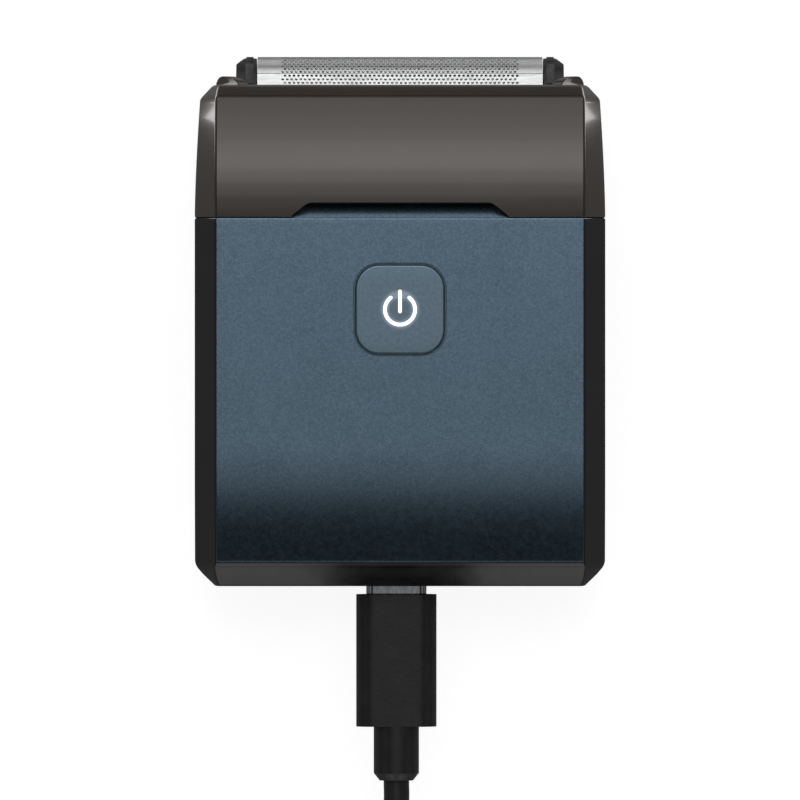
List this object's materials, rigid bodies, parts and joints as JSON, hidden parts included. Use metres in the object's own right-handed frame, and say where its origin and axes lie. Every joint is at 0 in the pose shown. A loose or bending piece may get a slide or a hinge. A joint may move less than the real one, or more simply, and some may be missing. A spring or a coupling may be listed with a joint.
{
  "type": "electric shaver",
  "caption": "Compact foil shaver with a pull-off head, sprung foil and cutter, oscillating drive, square power button and a plugged-in charging cable coiled for storage.",
  "frame": {"origin": "on the surface under the back, half way up the shaver and in the middle of its width", "axes": "+X to the right of the front face, +Y from the charging port to the foil, +Z the way the front face looks"},
  "size_m": [0.056, 0.2142, 0.023],
  "materials": {
    "shell_paint": "pearl metallic paint",
    "button_paint": "satin metallic",
    "symbol_lens": "translucent white",
    "head_gloss": "gloss bronze",
    "black_plastic": "moulded black",
    "clamp_plastic": "ribbed grey",
    "white_plastic": "natural acetal",
    "foil_steel": "polished, perforated",
    "blade_steel": "ground",
    "spring_steel": "drawn wire",
    "motor_steel": "zinc plated",
    "plug_metal": "nickel plated",
    "magnet": "sintered",
    "bronze": "sintered",
    "copper_wire": "enamelled",
    "board_green": "solder mask",
    "cell_sleeve": "shrink sleeve",
    "wire_jacket": "insulation",
    "seal_rubber": "moulded",
    "cable_jacket": "satin",
    "tie_fabric": "hook and loop"
  },
  "bodies": {
    "handle": {"front_shell": "shell_paint", "rear_shell": "shell_paint", "top_deck": "black_plastic", "neck_gasket": "seal_rubber", "neck_magnets": "magnet", "shaft_seal": "seal_rubber", "inner_frame": "black_plastic", "frame_screws": "motor_steel", "main_board": "board_green", "board_chips": "black_plastic", "tact_switch": "motor_steel", "status_led": "symbol_lens", "button_seal": "seal_rubber", "charge_board": "board_green", "usb_c_receptacle": "plug_metal", "usb_c_tongue": "black_plastic", "battery_cell": "cell_sleeve", "battery_tabs": "motor_steel", "battery_pad": "seal_rubber", "wire_leads": "wire_jacket", "motor_can": "motor_steel", "motor_end_bell": "white_plastic", "motor_magnets": "magnet", "motor_bushings": "bronze", "motor_bracket": "motor_steel", "motor_screws": "motor_steel", "bridge_base": "black_plastic", "flexure_legs": "black_plastic"},
    "power_button": {"power_button": "button_paint", "power_symbol": "symbol_lens", "switch_plunger": "black_plastic"},
    "rotor": {"motor_shaft": "spring_steel", "armature_core": "motor_steel", "armature_windings": "copper_wire", "commutator": "bronze", "eccentric_cam": "white_plastic"},
    "oscillator": {"drive_yoke": "white_plastic", "drive_pin": "spring_steel", "cutter_spring": "spring_steel"},
    "cutter": {"cutter_carrier": "white_plastic", "cutter_blades": "blade_steel"},
    "head": {"head_cover": "head_gloss", "head_frame": "black_plastic", "strike_plates": "motor_steel", "float_springs": "spring_steel"},
    "cassette": {"cassette_frame": "black_plastic", "foil": "foil_steel", "end_cap_left": "black_plastic", "end_cap_right": "black_plastic", "foil_clamps": "clamp_plastic"},
    "charging_cable": {"usb_c_plug": "plug_metal", "usb_c_grip": "cable_jacket", "cable_lead": "cable_jacket", "cable_coil": "cable_jacket", "cable_tail": "cable_jacket", "cable_tie": "tie_fabric", "usb_a_grip": "cable_jacket", "usb_a_shell": "plug_metal", "usb_a_tongue": "black_plastic"}
  },
  "joints": [
    {"name": "button_press", "type": "slide", "parent": "handle", "child": "power_button", "axis": [0, 0, -1], "range_m": [0, 0.0005], "stiffness_N_per_m": 1200},
    {"name": "motor_spin", "type": "hinge", "parent": "handle", "child": "rotor", "pos_m": [0, -0.005, 0.0115], "axis": [0, 1, 0], "continuous": true},
    {"name": "cutter_stroke", "type": "slide", "parent": "handle", "child": "oscillator", "axis": [1, 0, 0], "range_m": [-0.00075, 0.00075], "stiffness_N_per_m": 1500, "deforming": ["flexure_legs"]},
    {"name": "head_release", "type": "slide", "parent": "handle", "child": "head", "axis": [0, 1, 0], "range_m": [0, 0.025]},
    {"name": "foil_float", "type": "slide", "parent": "head", "child": "cassette", "axis": [0, -1, 0], "range_m": [0, 0.0012], "stiffness_N_per_m": 500, "deforming": ["float_springs"]},
    {"name": "cutter_float", "type": "slide", "parent": "oscillator", "child": "cutter", "axis": [0, -1, 0], "range_m": [0, 0.0012], "deforming": ["cutter_spring"]},
    {"name": "cable_unplug", "type": "slide", "parent": "handle", "child": "charging_cable", "axis": [0, -1, 0], "range_m": [0, 0.01]}
  ],
  "couplings": [
    {"joint": "cutter_float", "follows": "foil_float", "ratio": 1}
  ]
}
